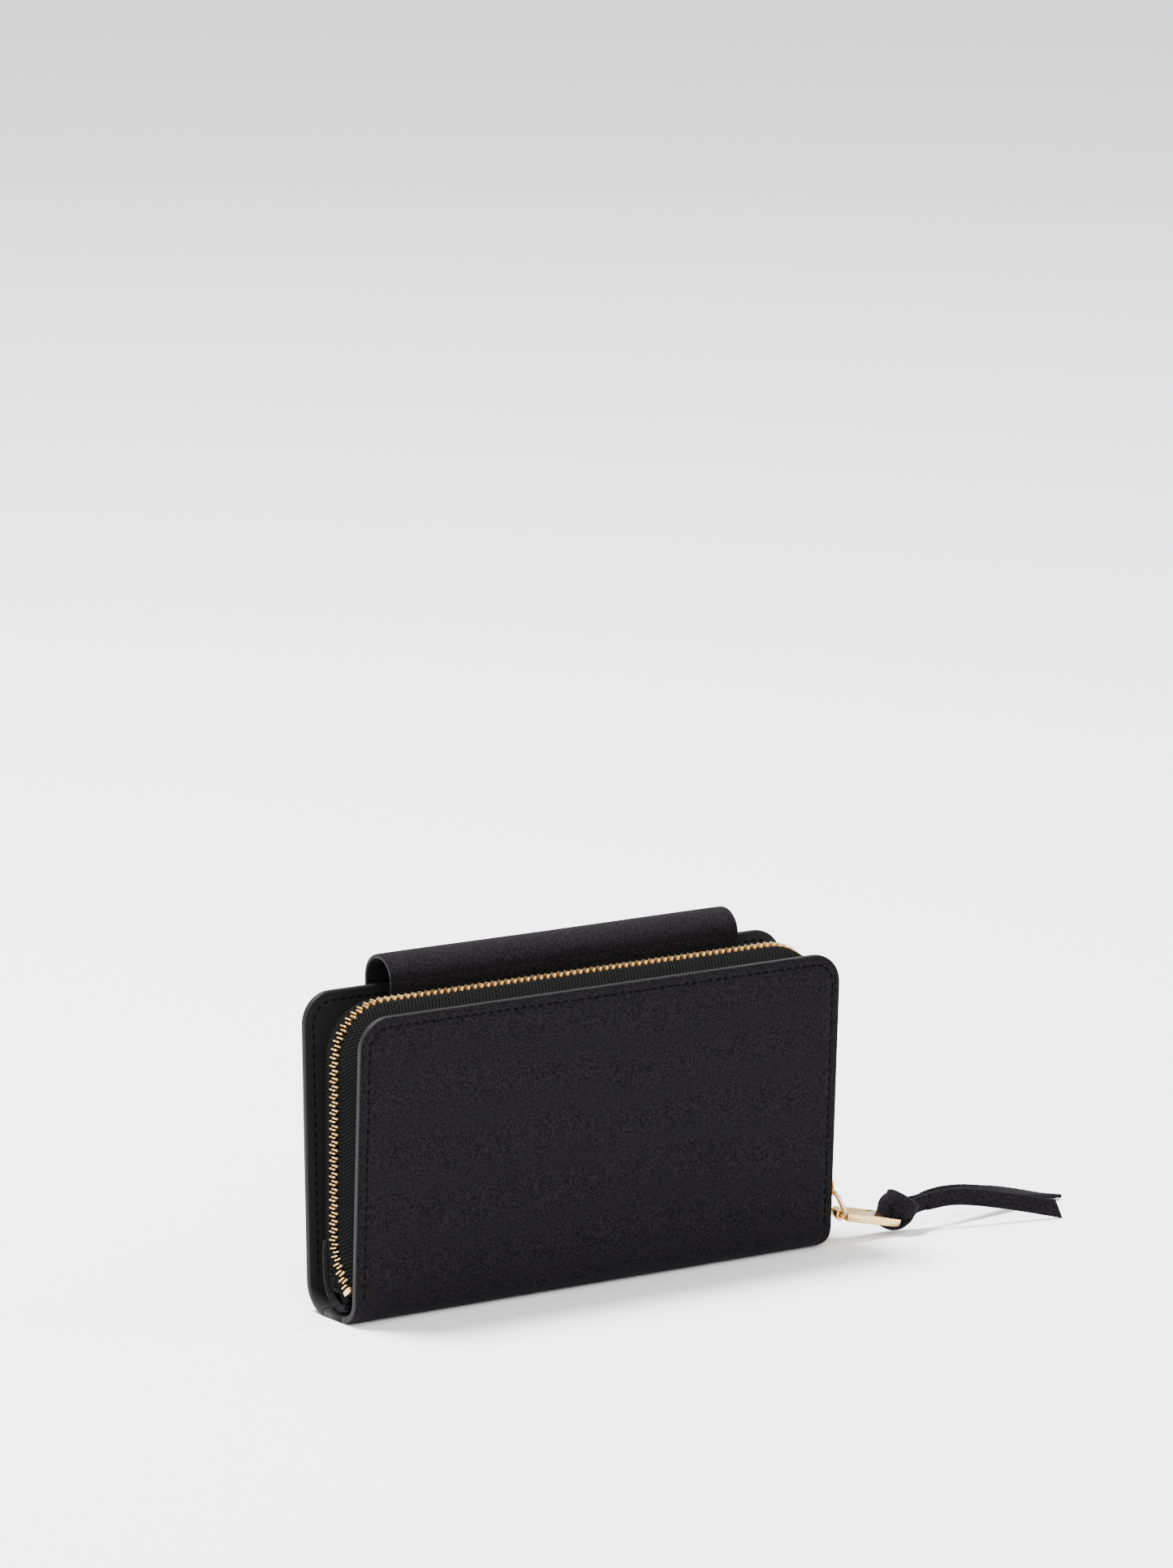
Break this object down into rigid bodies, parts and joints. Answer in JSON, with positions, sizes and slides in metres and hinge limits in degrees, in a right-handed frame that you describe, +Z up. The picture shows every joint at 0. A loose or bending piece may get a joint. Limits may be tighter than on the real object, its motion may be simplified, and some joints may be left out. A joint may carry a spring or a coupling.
{
  "type": "zip around wallet",
  "caption": "Black suede wallet with a zip compartment, a card section, a snap tab over the rear cover and a metal zip pull with a knotted suede lace.",
  "frame": {"origin": "middle of the flat underside of the spine, on the surface the wallet stands on", "axes": "+X along the wallet towards the zip pull, -Y the plain front cover's side, +Z up"},
  "size_m": [0.2958, 0.0462, 0.1149],
  "materials": {
    "suede": "black imitation suede, short matt nap",
    "lining": "black woven lining",
    "board": "grey stiffener board",
    "tape": "black herringbone woven zip tape",
    "teeth": "polished pale gold plating",
    "hardware": "polished pale gold plating",
    "lace": "black suede lace"
  },
  "bodies": {
    "core": {"spine_cover": "suede", "spine_lining": "lining", "front_fold": "suede", "front_fold_lining": "lining", "rear_fold": "suede", "rear_fold_lining": "lining", "divider_facing": "lining", "divider_board": "board", "divider_backing": "suede", "divider_anchor": "lining", "compartment_floor": "lining", "card_slot_1": "lining", "card_slot_2": "lining", "card_slot_3": "lining", "card_slot_4": "lining", "rear_tape": "tape", "rear_teeth": "teeth", "zip_top_stop": "teeth", "zip_bottom_stop": "teeth", "tab_root": "suede"},
    "front_half": {"front_cover": "suede", "front_board": "board", "front_lining": "lining", "front_tape": "tape", "front_teeth": "teeth"},
    "rear_half": {"rear_cover": "suede", "rear_board": "board", "rear_lining": "lining", "bill_pocket": "lining", "cover_slot_1": "lining", "cover_slot_2": "lining", "cover_slot_3": "lining", "snap_stud": "hardware", "stud_rivet": "hardware"},
    "tab": {"closure_tab": "suede", "tab_lining": "suede", "snap_cap": "hardware", "snap_socket": "hardware"},
    "slider": {"slider_body": "hardware", "slider_bridge": "hardware"},
    "link": {"pull_link": "hardware"},
    "plate": {"pull_plate": "hardware", "lace_knot": "lace", "lace_tail_front": "lace", "lace_tail_rear": "lace"}
  },
  "joints": [
    {"name": "compartment_open", "type": "hinge", "parent": "core", "child": "front_half", "pos_m": [0, -0.0055, 0.008], "axis": [1, 0, 0], "range_deg": [0, 40], "deforming": ["front_fold", "front_fold_lining", "front_tape", "front_teeth"]},
    {"name": "cover_open", "type": "hinge", "parent": "core", "child": "rear_half", "pos_m": [0, 0.0055, 0.0105], "axis": [-1, 0, 0], "range_deg": [0, 87], "deforming": ["rear_fold", "rear_fold_lining"]},
    {"name": "tab_lift", "type": "hinge", "parent": "core", "child": "tab", "pos_m": [0, 0.00645, 0.105], "axis": [1, 0, 0], "range_deg": [0, 90]},
    {"name": "slider_travel", "type": "slide", "parent": "core", "child": "slider", "axis": [0, 0.081, 0.9967], "range_m": [0, 0.05], "deforming": ["front_teeth", "rear_teeth", "front_tape", "rear_tape"]},
    {"name": "link_swing", "type": "hinge", "parent": "slider", "child": "link", "pos_m": [0.0987, -0.00585, 0.01808], "axis": [0, -1, 0], "range_deg": [0, 60]},
    {"name": "plate_swing", "type": "hinge", "parent": "link", "child": "plate", "pos_m": [0.1032, -0.00585, 0.0094], "axis": [0, -1, 0], "range_deg": [0, 40]}
  ]
}
